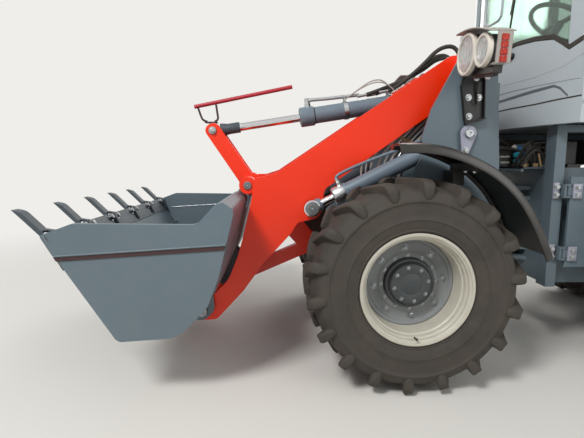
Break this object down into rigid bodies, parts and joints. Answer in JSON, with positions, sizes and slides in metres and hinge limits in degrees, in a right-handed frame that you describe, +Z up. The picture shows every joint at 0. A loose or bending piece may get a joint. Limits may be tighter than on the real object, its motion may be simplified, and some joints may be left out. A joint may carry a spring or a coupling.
{
  "type": "wheel loader",
  "caption": "Articulated wheel loader with a cab, a Z-bar boom, a curled bucket with teeth and a rear engine hood.",
  "frame": {"origin": "on the ground, in the middle of the machine's length and width", "axes": "+X forwards to the bucket, +Y to the machine's left, +Z up"},
  "size_m": [5.152, 1.92, 2.8455],
  "materials": {
    "boom_paint": "gloss orange-red enamel",
    "frame_paint": "satin slate-grey enamel",
    "edge_steel": "painted wear steel",
    "cab_paint": "silver-grey enamel",
    "hood_paint": "gloss orange-red enamel",
    "hatch_paint": "satin slate-grey enamel",
    "black_plastic": "moulded black",
    "barrel_paint": "slate-grey enamel",
    "chrome_rod": "hard chrome",
    "pin_steel": "turned steel",
    "rail_paint": "crimson enamel",
    "tyre": "dusty rubber",
    "rim_paint": "off-white enamel",
    "glass": "tinted glass",
    "lamp": "clear lens",
    "seat_cover": "black vinyl",
    "cast_iron": "painted casting",
    "valve_body": "black painted casting",
    "exhaust_steel": "heat-dulled steel"
  },
  "bodies": {
    "rear_frame": {"rear_chassis": "frame_paint", "rear_axle": "frame_paint", "powertrain": "cast_iron", "control_valve": "valve_body", "counterweight": "frame_paint", "tow_hitch": "frame_paint", "rear_fenders": "black_plastic", "steps_and_tanks": "frame_paint", "cab_floor": "cab_paint", "cab_front": "cab_paint", "cab_left": "cab_paint", "cab_right": "cab_paint", "cab_rear": "cab_paint", "cab_roof": "cab_paint", "cab_glass": "glass", "seat": "seat_cover", "controls": "black_plastic", "rear_lamps": "lamp", "mirrors_and_rails": "cab_paint"},
    "front_frame": {"front_chassis": "frame_paint", "front_axle": "frame_paint", "front_fenders": "black_plastic", "headlamps": "lamp", "lamp_brackets": "black_plastic"},
    "boom": {"boom": "boom_paint"},
    "bucket_pins": {"bucket_pins": "pin_steel"},
    "rocker_pin": {"rocker_pin": "pin_steel"},
    "link_pin": {"link_pin": "pin_steel"},
    "bucket": {"bucket_shell": "frame_paint", "bucket_sides": "frame_paint", "cutting_edge": "edge_steel"},
    "rocker": {"rocker": "boom_paint"},
    "link": {"link": "boom_paint"},
    "tilt_barrel": {"tilt_barrel": "barrel_paint"},
    "tilt_rod": {"tilt_rod": "chrome_rod", "level_rail": "rail_paint"},
    "door": {"cab_door": "cab_paint", "cab_door_glass": "glass"},
    "hood": {"hood": "hood_paint", "radiator_grille": "black_plastic", "exhaust": "exhaust_steel"},
    "hatch_left": {"hatch_left": "hatch_paint"},
    "hatch_right": {"hatch_right": "hatch_paint"},
    "lift_barrel_left": {"lift_left_barrel": "barrel_paint"},
    "lift_rod_left": {"lift_left_rod": "chrome_rod"},
    "steer_barrel_left": {"steer_left_barrel": "barrel_paint"},
    "steer_rod_left": {"steer_left_rod": "chrome_rod"},
    "wheel_front_left": {"tyre_front_left": "tyre", "rim_front_left": "rim_paint"},
    "wheel_rear_left": {"tyre_rear_left": "tyre", "rim_rear_left": "rim_paint"},
    "lift_barrel_right": {"lift_right_barrel": "barrel_paint"},
    "lift_rod_right": {"lift_right_rod": "chrome_rod"},
    "steer_barrel_right": {"steer_right_barrel": "barrel_paint"},
    "steer_rod_right": {"steer_right_rod": "chrome_rod"},
    "wheel_front_right": {"tyre_front_right": "tyre", "rim_front_right": "rim_paint"},
    "wheel_rear_right": {"tyre_rear_right": "tyre", "rim_rear_right": "rim_paint"}
  },
  "joints": [
    {"name": "steer", "type": "hinge", "parent": "rear_frame", "child": "front_frame", "pos_m": [-0.115, 0, 0.7], "axis": [0, 0, 1], "range_deg": [-32, 32]},
    {"name": "boom_lift", "type": "hinge", "parent": "front_frame", "child": "boom", "pos_m": [0.265, 0, 1.7], "axis": [0, -1, 0], "range_deg": [-2, 78]},
    {"name": "bucket_level", "type": "hinge", "parent": "boom", "child": "bucket_pins", "pos_m": [1.831, 0, 0.258], "axis": [0, -1, 0], "range_deg": [-78.5, 2.5]},
    {"name": "bucket_tilt", "type": "hinge", "parent": "bucket_pins", "child": "bucket", "pos_m": [1.831, 0, 0.258], "axis": [0, 1, 0], "range_deg": [0, 98]},
    {"name": "rocker_lift", "type": "hinge", "parent": "boom", "child": "rocker_pin", "pos_m": [1.548, 0, 1.021], "axis": [0, -1, 0], "range_deg": [-0.96, 18.28]},
    {"name": "rocker_tilt", "type": "hinge", "parent": "rocker_pin", "child": "rocker", "pos_m": [1.548, 0, 1.021], "axis": [0, -1, 0], "range_deg": [-0.5, 28.23]},
    {"name": "link_lift", "type": "hinge", "parent": "bucket", "child": "link_pin", "pos_m": [1.635, 0, 0.392], "axis": [0, -1, 0], "range_deg": [-2.6, 82.32]},
    {"name": "link_tilt", "type": "hinge", "parent": "link_pin", "child": "link", "pos_m": [1.635, 0, 0.392], "axis": [0, -1, 0], "range_deg": [-0.5, 96.44]},
    {"name": "tilt_swing", "type": "hinge", "parent": "front_frame", "child": "tilt_barrel", "pos_m": [0.303, 0, 1.597], "axis": [0, -1, 0], "range_deg": [-2.48, 77.72]},
    {"name": "tilt_stroke", "type": "slide", "parent": "tilt_barrel", "child": "tilt_rod", "axis": [0.988, 0, -0.1547], "range_m": [-0.1992, 0.002]},
    {"name": "lift_swing_left", "type": "hinge", "parent": "front_frame", "child": "lift_barrel_left", "pos_m": [0.3, 0.395, 1.32], "axis": [0, -1, 0], "range_deg": [-2.44, 76]},
    {"name": "lift_stroke_left", "type": "slide", "parent": "lift_barrel_left", "child": "lift_rod_left", "axis": [0.8973, 0, -0.4414], "range_m": [-0.0142, 0.4796]},
    {"name": "steer_swing_left", "type": "hinge", "parent": "rear_frame", "child": "steer_barrel_left", "pos_m": [-0.445, 0.165, 0.7], "axis": [0, 0, 1], "range_deg": [-11.83, 11.83]},
    {"name": "steer_stroke_left", "type": "slide", "parent": "steer_barrel_left", "child": "steer_rod_left", "axis": [0.9968, 0.0805, 0], "range_m": [-0.107, 0.107]},
    {"name": "lift_swing_right", "type": "hinge", "parent": "front_frame", "child": "lift_barrel_right", "pos_m": [0.3, -0.395, 1.32], "axis": [0, -1, 0], "range_deg": [-2.44, 76]},
    {"name": "lift_stroke_right", "type": "slide", "parent": "lift_barrel_right", "child": "lift_rod_right", "axis": [0.8973, 0, -0.4414], "range_m": [-0.0142, 0.4796]},
    {"name": "steer_swing_right", "type": "hinge", "parent": "rear_frame", "child": "steer_barrel_right", "pos_m": [-0.445, -0.165, 0.7], "axis": [0, 0, 1], "range_deg": [-11.83, 11.83]},
    {"name": "steer_stroke_right", "type": "slide", "parent": "steer_barrel_right", "child": "steer_rod_right", "axis": [0.9968, -0.0805, 0], "range_m": [-0.107, 0.107]},
    {"name": "wheel_front_left_spin", "type": "hinge", "parent": "front_frame", "child": "wheel_front_left", "pos_m": [0.685, 0.71, 0.545], "axis": [0, 1, 0], "continuous": true},
    {"name": "wheel_front_right_spin", "type": "hinge", "parent": "front_frame", "child": "wheel_front_right", "pos_m": [0.685, -0.71, 0.545], "axis": [0, 1, 0], "continuous": true},
    {"name": "wheel_rear_left_spin", "type": "hinge", "parent": "rear_frame", "child": "wheel_rear_left", "pos_m": [-1.365, 0.71, 0.545], "axis": [0, 1, 0], "continuous": true},
    {"name": "wheel_rear_right_spin", "type": "hinge", "parent": "rear_frame", "child": "wheel_rear_right", "pos_m": [-1.365, -0.71, 0.545], "axis": [0, 1, 0], "continuous": true},
    {"name": "door_swing", "type": "hinge", "parent": "rear_frame", "child": "door", "pos_m": [-0.818, 0.668, 2], "axis": [0, 0, 1], "range_deg": [0, 95]},
    {"name": "hood_tilt", "type": "hinge", "parent": "rear_frame", "child": "hood", "pos_m": [-2.467, 0, 1.062], "axis": [0, -1, 0], "range_deg": [0, 50]},
    {"name": "hatch_left_swing", "type": "hinge", "parent": "rear_frame", "child": "hatch_left", "pos_m": [-0.281, 0.52, 0.8], "axis": [0, 0, 1], "range_deg": [-90, 0]},
    {"name": "hatch_right_swing", "type": "hinge", "parent": "rear_frame", "child": "hatch_right", "pos_m": [-0.281, -0.52, 0.8], "axis": [0, 0, 1], "range_deg": [0, 90]}
  ],
  "couplings": [
    {"joint": "bucket_level", "follows": "boom_lift", "ratio": -1},
    {"joint": "rocker_lift", "follows": "boom_lift", "ratio": 0.228},
    {"joint": "rocker_tilt", "follows": "bucket_tilt", "ratio": 0.283},
    {"joint": "link_lift", "follows": "boom_lift", "ratio": 1.049},
    {"joint": "link_tilt", "follows": "bucket_tilt", "ratio": 0.979},
    {"joint": "tilt_swing", "follows": "boom_lift", "ratio": 0.99},
    {"joint": "tilt_stroke", "follows": "bucket_tilt", "m_per_rad": -0.1153},
    {"joint": "lift_swing_left", "follows": "boom_lift", "ratio": 0.968},
    {"joint": "lift_stroke_left", "follows": "boom_lift", "m_per_rad": 0.3508},
    {"joint": "steer_swing_left", "follows": "steer", "ratio": 0.354},
    {"joint": "steer_stroke_left", "follows": "steer", "m_per_rad": -0.188},
    {"joint": "lift_swing_right", "follows": "boom_lift", "ratio": 0.968},
    {"joint": "lift_stroke_right", "follows": "boom_lift", "m_per_rad": 0.3508},
    {"joint": "steer_swing_right", "follows": "steer", "ratio": 0.354},
    {"joint": "steer_stroke_right", "follows": "steer", "m_per_rad": 0.188}
  ]
}
